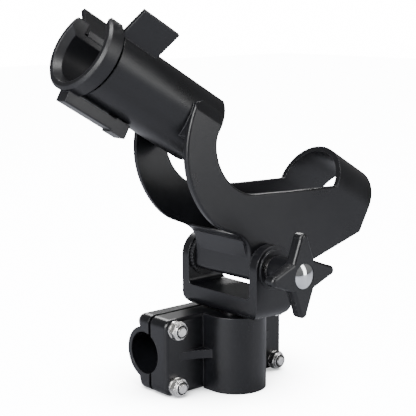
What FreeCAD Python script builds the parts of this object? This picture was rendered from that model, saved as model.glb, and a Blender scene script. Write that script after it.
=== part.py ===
import FreeCAD, Part
import math
import os

# Fishing rod holder with a rail clamp. Millimetres.
# +X points to the rod tube's mouth, +Y to the star knob, +Z up.
# The origin is the centre of the post's foot.

# Clamp base: post, neck and clamp plate
post_radius = 18.2
spindle_radius = 9.0
swivel_recess_radius = 13.0
swivel_shelf = 22.0
cap_thickness = 3.0
plate_half_length = 46.4
plate_front = -8.7
plate_thickness = 14.3
plate_corner = 5.0
plate_edge = 2.5
plate_margin = 0.6
plate_end_margin = 6.9
rib_thickness = 5.0
rib_reach = 18.0
rib_rise = 11.0

# Rail clamp and its bolts
rail_radius = 12.7
rail_sink = 6.3
jaw_gap = 2.4
jaw_flange = 9.4
jaw_wall = 3.2
jaw_edge = 2.0
bolt_radius = 3.0
bolt_rail_wall = 1.3
bolt_protrusion = 0.9
head_reach = 1.6
head_height = 3.6
nut_wall = 2.0
nut_height = 5.2
lock_ring_wall = 0.9
lock_ring_depth = 1.6
lock_ring_sink = 0.3
washer_reach = 2.4
washer_thickness = 1.2

# Yoke and tilt pivot
swivel_gap = 1.2
yoke_half_depth = 13.8
ear_thickness = 5.9
yoke_floor = 12.8
yoke_corner = 8.0
yoke_inner_corner = 3.0
yoke_window = 9.5
stud_radius = 4.0
disc_radius = 12.6
disc_thickness = 2.3
disc_notches = 36
disc_notch_depth = 0.5
ear_ring_radius = 11.5
ear_ring_height = 1.0
captive_flats = 13.0
captive_height = 6.4
captive_pocket = 4.0

# Star knob
thrust_thickness = 1.4
thrust_radius = 7.6
hub_radius = 8.4
hub_length = 14.6
star_reach = 24.2
star_tip_radius = 3.0
star_valley = 11.4
star_thickness = 7.4
star_edge = 1.8
cap_disc_radius = 7.2
cap_disc_rise = 2.2
cap_disc_rim = 0.8

# Rod tube and lock sleeve
tube_tilt = 30.3
tube_axis_rise = 64.8
tube_radius = 21.6
tube_wall = 2.6
tube_rear = 34.5
tube_front = 113.5
slot_half_width = 14.5
wing_setback = 23.5
wing_height = 16.3
wing_thickness = 2.6
wing_flare = 38.0
sleeve_wall = 1.8
sleeve_depth = 42.0
flange_step = 1.9
flange_gap = 2.4
flange_length = 9.2
flange_bevel = 1.4
mouth_bevel = 2.6
lever_half_width = 4.2
lever_thickness = 6.4
lever_length = 29.0
lever_lug = 8.0
lever_lug_step = 0.8
lever_edge = 0.8
lever_gap = 1.2

# Cradle side walls, tray and hoop
wall_step = 2.6
wall_thickness = 3.4
tray_thickness = 3.2
lug_reach = 10.5
lug_drop = 7.5
lug_corner = 3.5
rim_rise = 41.4
tray_corner_x = -41.3
tray_corner_drop = 1.8
rear_station = -98.5
rear_low = -6.5
hoop_length = 33.5
hoop_rise = 9.6
hoop_leg = 4.0
arm_blend_margin = 1.4
arm_blend_drop = 8.0
arm_edge = 1.2
shoulder_drop = 15.0
shoulder_top = 16.0
shoulder_lap = 2.0
shoulder_inset = 2.0
web_rise = 20.5
web_lean = 7.5

# Fits
running_clearance = 0.08
bolt_clearance = 0.2
loose_gap = 0.3

tilt = math.radians(tube_tilt)
washer_radius = bolt_radius + washer_reach
head_radius = bolt_radius + head_reach
nut_flats = 2 * (bolt_radius + nut_wall)
lock_ring_radius = bolt_radius + lock_ring_wall
bolt_offset_x = plate_half_length - plate_end_margin
bolt_offset_z = rail_radius + bolt_radius + bolt_rail_wall
post_height = 2 * (bolt_offset_z + washer_radius + plate_margin)
rail_y = plate_front - plate_thickness - rail_sink
rail_z = post_height / 2
plate_back = plate_front - plate_thickness
jaw_front = plate_back - jaw_gap
jaw_back = jaw_front - jaw_flange
yoke_bottom = post_height + swivel_gap
yoke_floor_top = yoke_bottom + yoke_floor
pivot_height = yoke_floor_top + yoke_window + lug_drop
wall_outer = tube_radius + wall_step
wall_inner = wall_outer - wall_thickness
ear_inner = wall_outer + loose_gap + disc_thickness
yoke_half_width = ear_inner + ear_thickness
ear_ring_face = yoke_half_width + ear_ring_height
hub_start = ear_ring_face + thrust_thickness
star_start = hub_start + hub_length
star_end = star_start + star_thickness
tube_bore = tube_radius - tube_wall
sleeve_outer = tube_bore - running_clearance
sleeve_bore = sleeve_outer - sleeve_wall
flange_start = tube_front + flange_gap
flange_end = flange_start + flange_length
flange_radius = tube_radius + flange_step
tube_axis_height = pivot_height + tube_axis_rise
wing_rear = tube_front - wing_setback
rim_height = pivot_height + rim_rise
tray_corner_z = pivot_height - tray_corner_drop
hoop_front = rear_station + hoop_length
arm_blend_radius = wall_outer + arm_blend_margin


def vec(x, y, z):
    return FreeCAD.Vector(x, y, z)


def box(low, high):
    size = high - low
    return Part.makeBox(size.x, size.y, size.z, low)


def rod(radius, start, length, direction):
    return Part.makeCylinder(radius, length, start, direction)


def ring(outer, inner, start, length, direction):
    return rod(outer, start, length, direction).cut(rod(inner, start, length, direction))


def axis_point(station, rise, side=0.0):
    """A point given along the rod axis, up from it and sideways."""
    x = station * math.cos(tilt) - rise * math.sin(tilt)
    z = tube_axis_height + station * math.sin(tilt) + rise * math.cos(tilt)
    return vec(x, side, z)


def on_axis(shape):
    """Turn a shape built along +Z, with +Y as its top, onto the rod axis."""
    c = math.cos(tilt)
    s = math.sin(tilt)
    matrix = FreeCAD.Matrix(0, -s, c, 0, 1, 0, 0, 0, 0, c, s, tube_axis_height, 0, 0, 0, 1)
    placed = shape.copy()
    placed.Placement = FreeCAD.Placement(matrix).multiply(shape.Placement)
    return placed


def edges_where(shape, test):
    return [edge for edge in shape.Edges if test(edge)]


def along(edge, direction):
    """True for a straight edge that runs along the direction."""
    if edge.Curve.TypeId != "Part::GeomLine":
        return False
    return abs(abs(edge.tangentAt(edge.FirstParameter).dot(direction)) - 1) < 1e-6


def flat_plate(points, low_y, high_y):
    """Extrude a closed outline of XZ points from low_y to high_y."""
    corners = [vec(x, low_y, z) for x, z in points]
    face = Part.Face(Part.makePolygon(corners + corners[:1]))
    return face.extrude(vec(0, high_y - low_y, 0))


def hexagon(flats, start, length):
    """A hexagonal prism along +Y, with a flat at its bottom."""
    corner = flats / math.sqrt(3)
    points = []
    for step in range(6):
        angle = math.radians(60 * step)
        points.append(start + vec(corner * math.cos(angle), 0, corner * math.sin(angle)))
    face = Part.Face(Part.makePolygon(points + points[:1]))
    return face.extrude(vec(0, length, 0))


def bolt_places():
    places = []
    for side in (1, -1):
        for level in (1, -1):
            places.append((side * bolt_offset_x, rail_z + level * bolt_offset_z))
    return places


def round_plate(plate, face_y, edge_radius):
    """Round an upright plate's four corners, then the rim of its face at face_y."""
    plate = plate.makeFillet(plate_corner, edges_where(plate, lambda e: along(e, vec(0, 1, 0))))
    rim = edges_where(plate, lambda e: abs(e.BoundBox.YMin - face_y) < 0.01 and abs(e.BoundBox.YMax - face_y) < 0.01)
    return plate.makeFillet(edge_radius, rim)


def clamp_base():
    post = rod(post_radius, vec(0, 0, 0), post_height, vec(0, 0, 1))
    neck = box(vec(-post_radius, plate_front, 0), vec(post_radius, 0, post_height))
    plate = box(vec(-plate_half_length, plate_back, 0), vec(plate_half_length, plate_front, post_height))
    plate = round_plate(plate, plate_front, plate_edge)
    body = post.fuse([neck, plate])
    for side in (1, -1):
        low = rail_z - rib_thickness / 2
        tip = vec(side * (post_radius + rib_reach), plate_front, low)
        root = vec(side * (post_radius - 3), plate_front + rib_rise, low)
        middle = (tip + root) * 0.5 - vec(side * 2, 1.2, 0)
        inner = vec(side * (post_radius - 3), plate_front - 1, low)
        outer = vec(side * (post_radius + rib_reach), plate_front - 1, low)
        wire = Part.Wire([Part.Arc(tip, middle, root).toShape(), Part.makeLine(root, inner),
                          Part.makeLine(inner, outer), Part.makeLine(outer, tip)])
        body = body.fuse(Part.Face(wire).extrude(vec(0, 0, rib_thickness)))
    body = body.removeSplitter()
    cuts = [rod(rail_radius, vec(-plate_half_length, rail_y, rail_z), 2 * plate_half_length, vec(1, 0, 0))]
    for x, z in bolt_places():
        cuts.append(rod(bolt_radius + bolt_clearance, vec(x, plate_back, z), plate_thickness, vec(0, 1, 0)))
    cuts.append(rod(spindle_radius + running_clearance, vec(0, 0, 0), post_height, vec(0, 0, 1)))
    cuts.append(rod(swivel_recess_radius, vec(0, 0, 0), swivel_shelf, vec(0, 0, 1)))
    return body.cut(cuts)


def bottom_cap():
    return rod(swivel_recess_radius, vec(0, 0, 0), cap_thickness, vec(0, 0, 1))


def clamp_jaw():
    flange = box(vec(-plate_half_length, jaw_back, 0), vec(plate_half_length, jaw_front, post_height))
    flange = round_plate(flange, jaw_back, jaw_edge)
    bulge = rod(rail_radius + jaw_wall, vec(-plate_half_length, rail_y, rail_z), 2 * plate_half_length, vec(1, 0, 0))
    keep = box(vec(-plate_half_length, jaw_back - 30, 0), vec(plate_half_length, jaw_front, post_height))
    body = flange.fuse(bulge.common(keep)).removeSplitter()
    cuts = [rod(rail_radius, vec(-plate_half_length, rail_y, rail_z), 2 * plate_half_length, vec(1, 0, 0))]
    for x, z in bolt_places():
        cuts.append(rod(bolt_radius + bolt_clearance, vec(x, jaw_back - 1, z), jaw_flange + 2, vec(0, 1, 0)))
        cuts.append(rod(head_radius + loose_gap, vec(x, jaw_back - 15, z), 15, vec(0, 1, 0)))
    return body.cut(cuts)


def clamp_bolt(x, z):
    """A pan-head bolt from behind the jaw, through both halves and the nut."""
    head = rod(head_radius, vec(x, jaw_back - head_height, z), head_height, vec(0, 1, 0))
    head = head.makeFillet(1.4, edges_where(head, lambda e: e.CenterOfMass.y < jaw_back - 1
                                            and not along(e, vec(0, 1, 0))))
    length = plate_front + washer_thickness + nut_height + bolt_protrusion - jaw_back
    shank = rod(bolt_radius, vec(x, jaw_back, z), length, vec(0, 1, 0))
    shank = shank.makeChamfer(0.6, edges_where(shank, lambda e: e.CenterOfMass.y > plate_front + 1
                                               and not along(e, vec(0, 1, 0))))
    return head.fuse(shank).removeSplitter()


def nut_washer(x, z):
    return ring(washer_radius, bolt_radius + bolt_clearance, vec(x, plate_front, z), washer_thickness, vec(0, 1, 0))


def lock_nut(x, z):
    """A locking nut: hexagon with a round collar at its outer end."""
    start = vec(x, plate_front + washer_thickness, z)
    hex_height = nut_height * 0.72
    crown = Part.makeCone(nut_flats / 2 + 2.2, nut_flats / 2 + 0.3, hex_height, start, vec(0, 1, 0))
    body = hexagon(nut_flats, start, hex_height).common(crown)
    collar = rod(nut_flats / 2 - 0.6, start, nut_height, vec(0, 1, 0))
    collar = collar.makeFillet(0.7, edges_where(collar, lambda e: e.CenterOfMass.y > start.y + hex_height
                                                and not along(e, vec(0, 1, 0))))
    hole = rod(bolt_radius + running_clearance, start, nut_height, vec(0, 1, 0))
    seat = rod(lock_ring_radius, vec(x, start.y + nut_height - lock_ring_depth, z), lock_ring_depth, vec(0, 1, 0))
    return body.fuse(collar).cut([hole, seat])


def lock_ring(x, z):
    """The nylon ring in a lock nut's outer end."""
    depth = lock_ring_depth - lock_ring_sink
    start = vec(x, plate_front + washer_thickness + nut_height - lock_ring_depth, z)
    return ring(lock_ring_radius, bolt_radius + running_clearance, start, depth, vec(0, 1, 0))


def yoke():
    d = yoke_half_depth
    w = yoke_half_width
    outer = box(vec(-d, -w, yoke_bottom), vec(d, w, pivot_height + d))
    outer = outer.makeFillet(yoke_corner, edges_where(outer, lambda e: along(e, vec(1, 0, 0))
                                                      and e.CenterOfMass.z < yoke_bottom + 1))
    inner = box(vec(-2 * d, -ear_inner, yoke_floor_top), vec(2 * d, ear_inner, pivot_height + 2 * d))
    inner = inner.makeFillet(yoke_inner_corner, edges_where(inner, lambda e: along(e, vec(1, 0, 0))
                                                            and e.CenterOfMass.z < yoke_floor_top + 1))
    side = box(vec(-d, -w, yoke_bottom), vec(d, w, pivot_height))
    side = side.makeFillet(yoke_corner * 0.7, edges_where(side, lambda e: along(e, vec(0, 1, 0))
                                                          and e.CenterOfMass.z < yoke_bottom + 1))
    side = side.fuse(rod(d, vec(0, -w, pivot_height), 2 * w, vec(0, 1, 0)))
    body = outer.common(side).cut(inner).removeSplitter()
    spindle_length = yoke_bottom - swivel_shelf
    body = body.fuse(rod(spindle_radius, vec(0, 0, swivel_shelf - loose_gap), spindle_length + loose_gap + 2,
                         vec(0, 0, 1)))
    body = body.fuse(rod(ear_ring_radius, vec(0, yoke_half_width - 1, pivot_height), 1 + ear_ring_height,
                         vec(0, 1, 0)))
    cuts = [rod(stud_radius + bolt_clearance, vec(0, -2 * w, pivot_height), 4 * w, vec(0, 1, 0))]
    pocket = hexagon(captive_flats + 2 * running_clearance, vec(0, -w, pivot_height), captive_pocket)
    cuts.append(pocket)
    cuts.append(rod(bolt_radius - 0.5, vec(0, 0, swivel_shelf - 1), 16, vec(0, 0, 1)))
    return body.cut(cuts)


def swivel_washer():
    start = vec(0, 0, swivel_shelf - loose_gap - washer_thickness)
    return ring(swivel_recess_radius - 1.5, bolt_radius, start, washer_thickness, vec(0, 0, 1))


def swivel_screw():
    top = swivel_shelf - loose_gap - washer_thickness
    head = rod(head_radius + 1, vec(0, 0, top - head_height), head_height, vec(0, 0, 1))
    shank = rod(bolt_radius - 0.5, vec(0, 0, top), 15, vec(0, 0, 1))
    slot = box(vec(-6, -0.7, top - head_height), vec(6, 0.7, top - head_height + 1.2))
    return head.fuse(shank).removeSplitter().cut(slot)


def captive_nut():
    start = vec(0, -yoke_half_width + captive_pocket - captive_height, pivot_height)
    nut = hexagon(captive_flats, start, captive_height)
    crown = Part.makeCone(captive_flats / 2, captive_flats / 2 + 2.4, captive_height, start, vec(0, 1, 0))
    return nut.common(crown).cut(rod(stud_radius + running_clearance, start, captive_height, vec(0, 1, 0)))


def ratchet_disc(side):
    """A notched disc between a cradle lug and a yoke ear, fast to the ear."""
    start = ear_inner - disc_thickness if side > 0 else -ear_inner
    disc = ring(disc_radius, stud_radius + bolt_clearance, vec(0, start, pivot_height), disc_thickness,
                vec(0, 1, 0))
    notches = []
    for step in range(disc_notches):
        angle = 2 * math.pi * step / disc_notches
        place = vec(disc_radius * math.cos(angle), start, pivot_height + disc_radius * math.sin(angle))
        notches.append(rod(disc_notch_depth, place, disc_thickness, vec(0, 1, 0)))
    return disc.cut(notches)


def thrust_washer():
    return ring(thrust_radius, stud_radius + running_clearance, vec(0, ear_ring_face, pivot_height),
                thrust_thickness, vec(0, 1, 0))


def star_outline(start_y):
    """Four tapered arms with rounded tips."""
    tip_centre = star_reach - star_tip_radius
    edges = []
    for step in range(4):
        angle = math.radians(90 * step)
        nxt = math.radians(90 * (step + 1))
        half = math.radians(90 * step + 45)
        centre = vec(tip_centre * math.cos(angle), 0, tip_centre * math.sin(angle))
        across = vec(-math.sin(angle), 0, math.cos(angle)) * star_tip_radius
        outward = vec(math.cos(angle), 0, math.sin(angle)) * star_tip_radius
        next_centre = vec(tip_centre * math.cos(nxt), 0, tip_centre * math.sin(nxt))
        next_across = vec(-math.sin(nxt), 0, math.cos(nxt)) * star_tip_radius
        lift = vec(0, start_y, pivot_height)
        valley = vec(star_valley * math.cos(half), 0, star_valley * math.sin(half))
        edges.append(Part.Arc(centre - across + lift, centre + outward + lift, centre + across + lift).toShape())
        edges.append(Part.makeLine(centre + across + lift, valley + lift))
        edges.append(Part.makeLine(valley + lift, next_centre - next_across + lift))
    return Part.Face(Part.Wire(edges))


def star_knob():
    star = star_outline(star_start).extrude(vec(0, star_thickness, 0))
    star = star.makeFillet(star_edge, edges_where(star, lambda e: not along(e, vec(0, 1, 0))))
    hub = rod(hub_radius, vec(0, hub_start, pivot_height), hub_length + 2, vec(0, 1, 0))
    body = star.fuse(hub).removeSplitter()
    seat = rod(cap_disc_radius + running_clearance, vec(0, star_end - 1, pivot_height), 2, vec(0, 1, 0))
    hole = rod(stud_radius, vec(0, hub_start, pivot_height), 60, vec(0, 1, 0))
    return body.cut([seat, hole])


def knob_stud():
    """The clamping stud, with the bright domed disc in the knob's face."""
    face = star_end - 1
    sphere_radius = (cap_disc_radius ** 2 + cap_disc_rise ** 2) / (2 * cap_disc_rise)
    rim = rod(cap_disc_radius, vec(0, face, pivot_height), cap_disc_rim, vec(0, 1, 0))
    dome = Part.makeSphere(sphere_radius, vec(0, face + cap_disc_rim + cap_disc_rise - sphere_radius, pivot_height))
    dome = dome.common(rod(cap_disc_radius, vec(0, face + cap_disc_rim, pivot_height), 20, vec(0, 1, 0)))
    far_end = -yoke_half_width + captive_pocket - captive_height - 3
    shank = rod(stud_radius, vec(0, far_end, pivot_height), face - far_end, vec(0, 1, 0))
    return rim.fuse([dome, shank]).removeSplitter()


def rod_tube():
    tube = ring(tube_radius, tube_bore, vec(0, 0, tube_rear), tube_front - tube_rear, vec(0, 0, 1))
    slot = box(vec(-slot_half_width, 0, tube_rear - 1), vec(slot_half_width, 2 * tube_radius, tube_front + 1))
    return on_axis(tube.cut(slot))


def guide_wing(side):
    """A flat guide that flares out from one edge of the tube's slot."""
    base_rise = math.sqrt(tube_radius ** 2 - slot_half_width ** 2) - tube_wall
    wing = box(vec(0, 0, wing_rear), vec(wing_thickness, wing_height + tube_wall, flange_start - loose_gap))
    wing.rotate(vec(0, 0, 0), vec(0, 0, 1), -wing_flare)
    wing.translate(vec(slot_half_width, base_rise, 0))
    if side < 0:
        wing = wing.mirror(vec(0, 0, 0), vec(1, 0, 0))
    return on_axis(wing)


def curve(points, y):
    spline = Part.BSplineCurve()
    spline.interpolate([vec(x, y, z) for x, z in points])
    return spline.toShape()


def line(first, last, y):
    return Part.makeLine(vec(first[0], y, first[1]), vec(last[0], y, last[1]))


def is_curve(edge):
    return edge.Curve.TypeId == "Part::GeomBSplineCurve"


def on_outer_face(edge, side):
    """True for an edge that lies in a side wall's outer face."""
    return abs(edge.CenterOfMass.y - side * wall_outer) < 0.01


def flat(point):
    return (point.x, point.z)


def above_pivot(x, rise):
    return (x, pivot_height + rise)


def side_wall(side):
    """One side of the cradle: pivot lug, tray wall and the arm up to the tube."""
    top_front = above_pivot(49.0, 97.5)
    top_rear = above_pivot(28.0, 99.0)
    arm_back = [top_rear, above_pivot(29.5, 89.0), above_pivot(34.6, 76.0), above_pivot(31.0, 59.0),
                above_pivot(19.0, 47.0), above_pivot(5.0, rim_rise + 1.4)]
    arm_front = [above_pivot(lug_reach, 6.0), above_pivot(15.0, 18.0), above_pivot(30.7, 25.6),
                 above_pivot(46.8, 40.2), above_pivot(56.0, 63.0), above_pivot(54.0, 85.0), top_front]
    lug_front = (lug_reach, pivot_height - lug_drop + lug_corner)
    lug_low = (lug_reach - lug_corner, pivot_height - lug_drop)
    corner = (tray_corner_x, tray_corner_z)
    rear_bottom = flat(axis_point(rear_station, rear_low))
    rear_top = flat(axis_point(rear_station, hoop_rise))
    hoop_foot = flat(axis_point(hoop_front, hoop_rise))
    rim = (-22.0, rim_height)
    y = wall_inner if side > 0 else -wall_outer
    turn = math.sqrt(0.5) * lug_corner
    lug_arc = Part.Arc(vec(lug_low[0], y, lug_low[1]), vec(lug_low[0] + turn, y, lug_front[1] - turn),
                       vec(lug_front[0], y, lug_front[1])).toShape()
    edges = [lug_arc, line(lug_front, arm_front[0], y), curve(arm_front, y), line(top_front, top_rear, y),
             curve(arm_back, y), line(arm_back[-1], rim, y), line(rim, hoop_foot, y), line(hoop_foot, rear_top, y),
             line(rear_top, rear_bottom, y), line(rear_bottom, corner, y), line(corner, lug_low, y)]
    return Part.Face(Part.Wire(edges))


def arm_limits():
    """The space that the upper arms may fill: inside a large round that dies into the tube, or below it."""
    reach = 200
    upper = on_axis(rod(arm_blend_radius, vec(0, -arm_blend_drop, 0), reach, vec(0, 0, 1)))
    lower = on_axis(box(vec(-reach, -reach, -reach), vec(reach, -arm_blend_drop, reach)))
    rear = on_axis(box(vec(-reach, -reach, -reach), vec(reach, reach, 1)))
    return upper.fuse([lower, rear])


def arm_shoulder(side):
    """Material between one arm and the tube, with the rod's way through left open."""
    depth = wall_outer - shoulder_inset - slot_half_width
    shift = slot_half_width - wall_inner if side > 0 else shoulder_inset
    block = side_wall(side).extrude(vec(0, depth, 0))
    block.translate(vec(0, shift, 0))
    near_tube = on_axis(box(vec(-wall_outer, -shoulder_drop, tube_rear - shoulder_lap),
                            vec(wall_outer, shoulder_top, tube_rear + 40)))
    bore = on_axis(rod(tube_radius - tube_wall / 2, vec(0, 0, 0), 200, vec(0, 0, 1)))
    return block.common(near_tube).common(arm_limits()).cut(bore)


def tray_floor():
    t = tray_thickness
    lug_low = (0.0, pivot_height - lug_drop)
    rear = axis_point(rear_station, rear_low)
    upper_rear = axis_point(rear_station, rear_low + t)
    points = [lug_low, (tray_corner_x, tray_corner_z), (rear.x, rear.z), (upper_rear.x, upper_rear.z),
              (tray_corner_x, tray_corner_z + t), (0.0, pivot_height - lug_drop + t)]
    return flat_plate(points, -wall_inner, wall_inner)


def front_web():
    """The cross wall below the arms, joining both sides over the pivot boss."""
    x = lug_reach
    t = tray_thickness
    low = pivot_height + 6
    bend = pivot_height + web_rise * 0.8
    top = pivot_height + web_rise
    points = [(x, pivot_height), (x, low), (x + web_lean * 0.4, bend), (x + web_lean, top),
              (x + web_lean - t, top), (x + web_lean * 0.4 - t, bend), (x - t, low), (x - t, pivot_height)]
    return flat_plate(points, -wall_inner, wall_inner)


def pivot_boss():
    """The solid bar round the pivot bore, square below with a rounded front corner."""
    block = box(vec(0, -wall_inner, pivot_height - lug_drop), vec(lug_reach, wall_inner, pivot_height))
    block = block.makeFillet(lug_corner, edges_where(block, lambda e: along(e, vec(0, 1, 0))
                                                     and e.CenterOfMass.x > lug_reach - 1
                                                     and e.CenterOfMass.z < pivot_height - 1))
    return block.fuse(rod(lug_drop, vec(0, -wall_inner, pivot_height), 2 * wall_inner, vec(0, 1, 0)))


def rear_hoop():
    def leg(x, first, last):
        return Part.makeLine(vec(x, hoop_rise + first, rear_station), vec(x, hoop_rise + last, rear_station))

    def arc(radius):
        side = vec(radius, hoop_rise, rear_station)
        other = vec(-radius, hoop_rise, rear_station)
        return Part.Arc(side, vec(0, hoop_rise + radius, rear_station), other).toShape()

    def foot(first, last):
        return Part.makeLine(vec(first, hoop_rise - hoop_leg, rear_station), vec(last, hoop_rise - hoop_leg, rear_station))

    edges = [leg(wall_outer, -hoop_leg, 0), arc(wall_outer), leg(-wall_outer, 0, -hoop_leg),
             foot(-wall_outer, -wall_inner), leg(-wall_inner, -hoop_leg, 0), arc(wall_inner),
             leg(wall_inner, 0, -hoop_leg), foot(wall_inner, wall_outer)]
    arch = Part.Face(Part.Wire(Part.__sortEdges__(edges))).extrude(vec(0, 0, hoop_front - rear_station))
    return on_axis(arch)


def cradle():
    limits = arm_limits()
    parts = [rod_tube(), tray_floor(), front_web(), rear_hoop()]
    for side in (1, -1):
        wall = side_wall(side).extrude(vec(0, wall_thickness, 0))
        wall = wall.makeFillet(arm_edge, edges_where(wall, lambda e: on_outer_face(e, side) and is_curve(e)))
        parts.append(wall.common(limits))
        parts.append(guide_wing(side))
        parts.append(arm_shoulder(side))
    parts.append(pivot_boss())
    body = parts[0].fuse(parts[1:]).removeSplitter()
    bore = on_axis(rod(tube_bore, vec(0, 0, tube_rear - 12), tube_front - tube_rear + 20, vec(0, 0, 1)))
    pivot = rod(stud_radius + bolt_clearance, vec(0, -60, pivot_height), 120, vec(0, 1, 0))
    return body.cut([bore, pivot])


def lock_sleeve():
    """The turning sleeve: slotted liner, mouth flange and a lever along its underside."""
    liner = rod(sleeve_outer, vec(0, 0, tube_front - sleeve_depth), flange_end - tube_front + sleeve_depth,
                vec(0, 0, 1))
    flange = rod(flange_radius, vec(0, 0, flange_start), flange_length, vec(0, 0, 1))
    flange = flange.makeChamfer(flange_bevel, edges_where(flange, lambda e: e.CenterOfMass.z > flange_end - 0.01
                                                          and not along(e, vec(0, 0, 1))))
    body = flange.fuse(liner)
    w = lever_half_width
    top = -tube_radius - lever_gap
    low = top - lever_thickness
    front = flange_end - 2 * flange_bevel
    rear = flange_start - lever_length
    lever = box(vec(-w, low, rear), vec(w, top, front))
    lever = lever.makeFillet(lever_edge, edges_where(lever, lambda e: along(e, vec(0, 0, 1))
                                                     and e.CenterOfMass.y < top - 1))
    root = box(vec(-w, low + lever_thickness / 2, flange_start), vec(w, -flange_radius + tube_wall, front))
    lug_height = lever_thickness + lever_gap - loose_gap
    lug = box(vec(-w, low - lever_lug_step, rear - lever_lug), vec(w, low + lug_height, rear + 2))
    lug = lug.makeFillet(lever_edge, edges_where(lug, lambda e: along(e, vec(1, 0, 0))
                                                 and e.CenterOfMass.z < rear and e.CenterOfMass.y < top - 1))
    lever = lever.fuse([root, lug]).removeSplitter()
    body = body.fuse(lever).removeSplitter()
    bore = rod(sleeve_bore, vec(0, 0, 0), 200, vec(0, 0, 1))
    mouth = Part.makeCone(sleeve_bore, sleeve_bore + mouth_bevel, mouth_bevel * 1.6,
                          vec(0, 0, flange_end - mouth_bevel * 1.6), vec(0, 0, 1))
    slot = box(vec(-slot_half_width, 0, 0), vec(slot_half_width, 60, 200))
    return on_axis(body.cut([bore, mouth, slot]))


def build():
    nodes = {
        "clamp_base": clamp_base(),
        "bottom_cap": bottom_cap(),
        "clamp_jaw": clamp_jaw(),
        "yoke": yoke(),
        "swivel_washer": swivel_washer(),
        "swivel_screw": swivel_screw(),
        "captive_nut": captive_nut(),
        "ratchet_disc_near": ratchet_disc(1),
        "ratchet_disc_far": ratchet_disc(-1),
        "thrust_washer": thrust_washer(),
        "star_knob": star_knob(),
        "knob_stud": knob_stud(),
        "cradle": cradle(),
        "lock_sleeve": lock_sleeve(),
    }
    for number, (x, z) in enumerate(bolt_places(), 1):
        nodes[f"clamp_bolt_{number}"] = clamp_bolt(x, z)
        nodes[f"nut_washer_{number}"] = nut_washer(x, z)
        nodes[f"lock_nut_{number}"] = lock_nut(x, z)
        nodes[f"lock_ring_{number}"] = lock_ring(x, z)
    return nodes


os.makedirs("parts", exist_ok=True)
for name, shape in build().items():
    print(name, len(shape.Solids), shape.isValid(), round(shape.Volume))
    shape.exportStep(f"parts/{name}.step")
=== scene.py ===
import bpy
import math
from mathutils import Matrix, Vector

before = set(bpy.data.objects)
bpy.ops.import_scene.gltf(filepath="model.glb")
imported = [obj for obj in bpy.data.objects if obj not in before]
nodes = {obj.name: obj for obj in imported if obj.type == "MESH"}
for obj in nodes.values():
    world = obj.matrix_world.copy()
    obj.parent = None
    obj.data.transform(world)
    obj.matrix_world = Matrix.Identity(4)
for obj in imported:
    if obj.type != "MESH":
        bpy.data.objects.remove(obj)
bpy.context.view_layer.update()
print("frame loaded")


# Node tree helpers

noiseLow, noiseHigh = 0.3, 0.7  # the range that nearly all of a noise pattern falls in
bevelSamples = 4


def newTree(name):
    material = bpy.data.materials.new(name)
    material.use_nodes = True
    tree = material.node_tree
    shader = tree.nodes["Principled BSDF"]
    place = tree.nodes.new("ShaderNodeTexCoord")
    return material, tree, shader, place.outputs["Object"]


def noise(tree, coords, scale, detail, roughness=0.5):
    node = tree.nodes.new("ShaderNodeTexNoise")
    node.inputs["Scale"].default_value = scale
    node.inputs["Detail"].default_value = detail
    node.inputs["Roughness"].default_value = roughness
    tree.links.new(coords, node.inputs["Vector"])
    return node.outputs["Fac"]


def ramp(tree, value, first, second, start=noiseLow, end=noiseHigh):
    node = tree.nodes.new("ShaderNodeValToRGB")
    low, high = node.color_ramp.elements
    low.position, high.position = start, end
    low.color, high.color = (*first, 1), (*second, 1)
    tree.links.new(value, node.inputs["Fac"])
    return node.outputs["Color"]


def spread(tree, value, low, high, fromLow=noiseLow, fromHigh=noiseHigh):
    node = tree.nodes.new("ShaderNodeMapRange")
    node.inputs["From Min"].default_value = fromLow
    node.inputs["From Max"].default_value = fromHigh
    node.inputs["To Min"].default_value = low
    node.inputs["To Max"].default_value = high
    tree.links.new(value, node.inputs["Value"])
    return node.outputs["Result"]


def blendTo(tree, factor, first, color):  # from the first pattern to one plain colour
    node = tree.nodes.new("ShaderNodeMix")
    node.data_type = "RGBA"
    factorIn, firstIn, secondIn = node.inputs[0], node.inputs[6], node.inputs[7]
    tree.links.new(factor, factorIn)
    tree.links.new(first, firstIn)
    secondIn.default_value = (*color, 1)
    return node.outputs[2]


def roundedNormal(tree, radius):  # the surface's direction with its sharp edges softened
    bevel = tree.nodes.new("ShaderNodeBevel")
    bevel.samples = bevelSamples
    bevel.inputs["Radius"].default_value = radius
    return bevel.outputs["Normal"]


# Mask for the painted edge highlight that lightens sharp edges
def edgeHighlightMask(tree, rounded, low, high):  # 0 on flats, 1 on sharp edges
    geometry = tree.nodes.new("ShaderNodeNewGeometry")
    dot = tree.nodes.new("ShaderNodeVectorMath")
    dot.operation = "DOT_PRODUCT"
    tree.links.new(rounded, dot.inputs[0])
    tree.links.new(geometry.outputs["Normal"], dot.inputs[1])
    return spread(tree, dot.outputs["Value"], 1.0, 0.0, low, high)


def bump(tree, height, strength, distance, normal=None):
    node = tree.nodes.new("ShaderNodeBump")
    node.inputs["Strength"].default_value = strength
    node.inputs["Distance"].default_value = distance
    tree.links.new(height, node.inputs["Height"])
    if normal is not None:
        tree.links.new(normal, node.inputs["Normal"])
    return node.outputs["Normal"]


# Moulded black nylon, satin, with a painted highlight that lightens its sharp edges

plasticLook = {
    "dark": (0.0026, 0.0027, 0.0036),
    "light": (0.0042, 0.0044, 0.0058),
    # Painted highlight colour for sharp edges, then the range of its mask
    "edgeHighlight": (0.026, 0.027, 0.031),
    "highlightStart": 0.80,
    "highlightEnd": 0.995,
    "grainScale": 1900,
    "grainDetail": 3,
    "grainRough": 0.6,
    "mottleScale": 34,
    "mottleDetail": 5,
    "grainStrength": 0.35,
    "grainDepth": 0.00004,
    "roughLow": 0.27,
    "roughHigh": 0.36,
    "edgeRadius": 0.0007,
    "ior": 1.5,
}
sleeveLook = {**plasticLook, "roughLow": 0.32, "roughHigh": 0.42}
nylonLook = {**plasticLook, "roughLow": 0.5, "roughHigh": 0.62}


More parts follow.
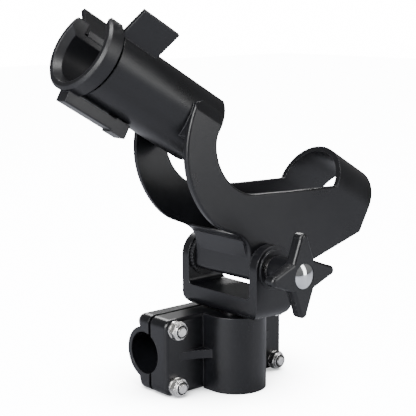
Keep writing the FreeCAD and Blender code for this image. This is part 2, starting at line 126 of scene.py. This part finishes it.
def mouldedPlastic(name, look):
    material, tree, shader, coords = newTree(name)
    grain = noise(tree, coords, look["grainScale"], look["grainDetail"], look["grainRough"])
    mottle = noise(tree, coords, look["mottleScale"], look["mottleDetail"])
    base = ramp(tree, mottle, look["dark"], look["light"])
    rounded = roundedNormal(tree, look["edgeRadius"])
    highlightMask = edgeHighlightMask(tree, rounded, look["highlightStart"], look["highlightEnd"])
    # Sharp edges blend to a lighter colour, a painted edge highlight
    tree.links.new(blendTo(tree, highlightMask, base, look["edgeHighlight"]), shader.inputs["Base Color"])
    rough = spread(tree, mottle, look["roughLow"], look["roughHigh"])
    tree.links.new(rough, shader.inputs["Roughness"])
    shader.inputs["IOR"].default_value = look["ior"]
    normal = bump(tree, grain, look["grainStrength"], look["grainDepth"], rounded)
    tree.links.new(normal, shader.inputs["Normal"])
    return material


# Zinc-plated fasteners

steelLook = {
    "dark": (0.70, 0.69, 0.66),
    "light": (0.93, 0.92, 0.90),
    "spotScale": 420,
    "spotDetail": 6,
    "spotRough": 0.65,
    "spotEdge": 0.55,
    "fineScale": 2600,
    "fineDetail": 2,
    "fineStrength": 0.15,
    "fineDepth": 0.00003,
    "roughLow": 0.16,
    "roughHigh": 0.34,
    "edgeRadius": 0.0004,
}


def platedSteel(name, look):
    material, tree, shader, coords = newTree(name)
    spots = noise(tree, coords, look["spotScale"], look["spotDetail"], look["spotRough"])
    fine = noise(tree, coords, look["fineScale"], look["fineDetail"])
    color = ramp(tree, spots, look["dark"], look["light"], end=look["spotEdge"])
    tree.links.new(color, shader.inputs["Base Color"])
    shader.inputs["Metallic"].default_value = 1.0
    tree.links.new(spread(tree, spots, look["roughHigh"], look["roughLow"]), shader.inputs["Roughness"])
    rounded = roundedNormal(tree, look["edgeRadius"])
    normal = bump(tree, fine, look["fineStrength"], look["fineDepth"], rounded)
    tree.links.new(normal, shader.inputs["Normal"])
    return material


# The polished disc in the knob's face

chromeLook = {
    "dark": (0.70, 0.71, 0.73),
    "light": (0.90, 0.91, 0.92),
    "hazeScale": 160,
    "hazeDetail": 5,
    "hazeStrength": 0.12,
    "hazeDepth": 0.0003,
    "roughLow": 0.04,
    "roughHigh": 0.12,
}


def polishedStud(name, look):
    material, tree, shader, coords = newTree(name)
    haze = noise(tree, coords, look["hazeScale"], look["hazeDetail"])
    tree.links.new(ramp(tree, haze, look["dark"], look["light"]), shader.inputs["Base Color"])
    shader.inputs["Metallic"].default_value = 1.0
    tree.links.new(spread(tree, haze, look["roughLow"], look["roughHigh"]), shader.inputs["Roughness"])
    tree.links.new(bump(tree, haze, look["hazeStrength"], look["hazeDepth"]), shader.inputs["Normal"])
    return material


satinPlastic = mouldedPlastic("satinPlastic", plasticLook)
finishes = {
    "knob_stud": polishedStud("brightStud", chromeLook),
    "lock_sleeve": mouldedPlastic("sleevePlastic", sleeveLook),
}
nylon = mouldedPlastic("discNylon", nylonLook)
steel = platedSteel("zincSteel", steelLook)
nylonStarts = ("ratchet_disc", "lock_ring")
steelStarts = ("clamp_bolt", "nut_washer", "lock_nut", "swivel_s", "swivel_w", "captive", "thrust")


def finishFor(name):
    if name.startswith(nylonStarts):
        return nylon
    if name.startswith(steelStarts):
        return steel
    return finishes.get(name, satinPlastic)


for name in nodes:
    slots = nodes[name].data.materials
    slots.clear()
    slots.append(finishFor(name))
print("finishes done")


# Floor and backdrop, white to the camera and dimmer to the part

stageLook = {
    "floorSize": 6.0,
    "floorColor": (0.40, 0.41, 0.45),
    "cloudScale": 3,
    "cloudDetail": 2,
    "cloudLift": 1.02,
    "floorRough": 0.7,
    "glowColor": (0.98, 0.99, 1.0, 1),
    "floorGlow": 14.0,
    "shadowGlow": 0.6,
    "shadowStart": 0.25,
    "shadowReach": 0.05,
    "worldColor": (1.0, 1.0, 1.0, 1),
    "fillStrength": 0.2,
    "backdropStrength": 16.0,
}


def cameraRay(tree):
    return tree.nodes.new("ShaderNodeLightPath").outputs["Is Camera Ray"]


def paleFloor(look):
    bpy.ops.mesh.primitive_plane_add(size=look["floorSize"], location=(0, 0, 0))
    floor = bpy.context.object
    floor.name = "floor"
    material, tree, shader, coords = newTree("paleFloor")
    cloud = noise(tree, coords, look["cloudScale"], look["cloudDetail"])
    shade = look["floorColor"]
    lighter = tuple(part * look["cloudLift"] for part in shade)
    tree.links.new(ramp(tree, cloud, shade, lighter), shader.inputs["Base Color"])
    shader.inputs["Roughness"].default_value = look["floorRough"]
    shader.inputs["Emission Color"].default_value = look["glowColor"]
    near = tree.nodes.new("ShaderNodeAmbientOcclusion")  # a faint shadow where the part stands
    near.inputs["Distance"].default_value = look["shadowReach"]
    glow = tree.nodes.new("ShaderNodeMath")
    glow.operation = "MULTIPLY"
    shaded = spread(tree, near.outputs["AO"], look["shadowGlow"], look["floorGlow"], look["shadowStart"], 1.0)
    tree.links.new(cameraRay(tree), glow.inputs[0])
    tree.links.new(shaded, glow.inputs[1])
    tree.links.new(glow.outputs["Value"], shader.inputs["Emission Strength"])
    floor.data.materials.append(material)


def paleWorld(look):
    world = bpy.data.worlds.new("paleWorld")
    world.use_nodes = True
    tree = world.node_tree
    sky = tree.nodes["Background"]
    sky.inputs["Color"].default_value = look["worldColor"]
    glow = spread(tree, cameraRay(tree), look["fillStrength"], look["backdropStrength"], 0.0, 1.0)
    tree.links.new(glow, sky.inputs["Strength"])
    bpy.context.scene.world = world


# Soft lamps: place and aim in metres, size in metres, power in watts

lamps = {
    "keyLight": {"place": (0.95, 0.35, 0.75), "aim": (0, 0, 0.12), "size": (0.5, 0.6), "power": 17},
    "sideLight": {"place": (-0.55, 0.95, 0.45), "aim": (0, 0, 0.1), "size": (0.35, 0.9), "power": 5},
    "frontLight": {"place": (1.05, 0.0, 0.42), "aim": (0, 0, 0.15), "size": (0.45, 0.6), "power": 8},
    "backLight": {"place": (-0.6, -0.8, 0.9), "aim": (0, 0, 0.15), "size": (0.8, 0.4), "power": 16},
    "topLight": {"place": (0.1, 0.25, 1.2), "aim": (0, 0, 0.1), "size": (0.35, 0.35), "power": 9},
}


def softLight(name, look):
    data = bpy.data.lights.new(name, "AREA")
    data.shape = "RECTANGLE"
    data.size, data.size_y = look["size"]
    data.energy = look["power"]
    lamp = bpy.data.objects.new(name, data)
    lamp.location = look["place"]
    towards = Vector(look["aim"]) - Vector(look["place"])
    lamp.rotation_euler = towards.to_track_quat("-Z", "Y").to_euler()
    bpy.context.scene.collection.objects.link(lamp)


cameraLook = {
    "place": (0.455, 0.5016, 0.2299),
    "forward": (-0.6438, -0.7445, -0.1768),
    "roll": -0.38,
    "focal": 1173.6,
    "imageSize": 416,
    "sensor": 36.0,
}


def aimedCamera(look):
    data = bpy.data.cameras.new("camera")
    data.sensor_width = look["sensor"]
    data.lens = look["focal"] * look["sensor"] / look["imageSize"]
    camera = bpy.data.objects.new("camera", data)
    camera.location = look["place"]
    camera.rotation_euler = Vector(look["forward"]).to_track_quat("-Z", "Y").to_euler()
    camera.rotation_euler.rotate_axis("Z", math.radians(look["roll"]))
    bpy.context.scene.collection.objects.link(camera)
    bpy.context.scene.camera = camera


paleFloor(stageLook)
paleWorld(stageLook)
for name, look in lamps.items():
    softLight(name, look)
aimedCamera(cameraLook)
print("stage done")
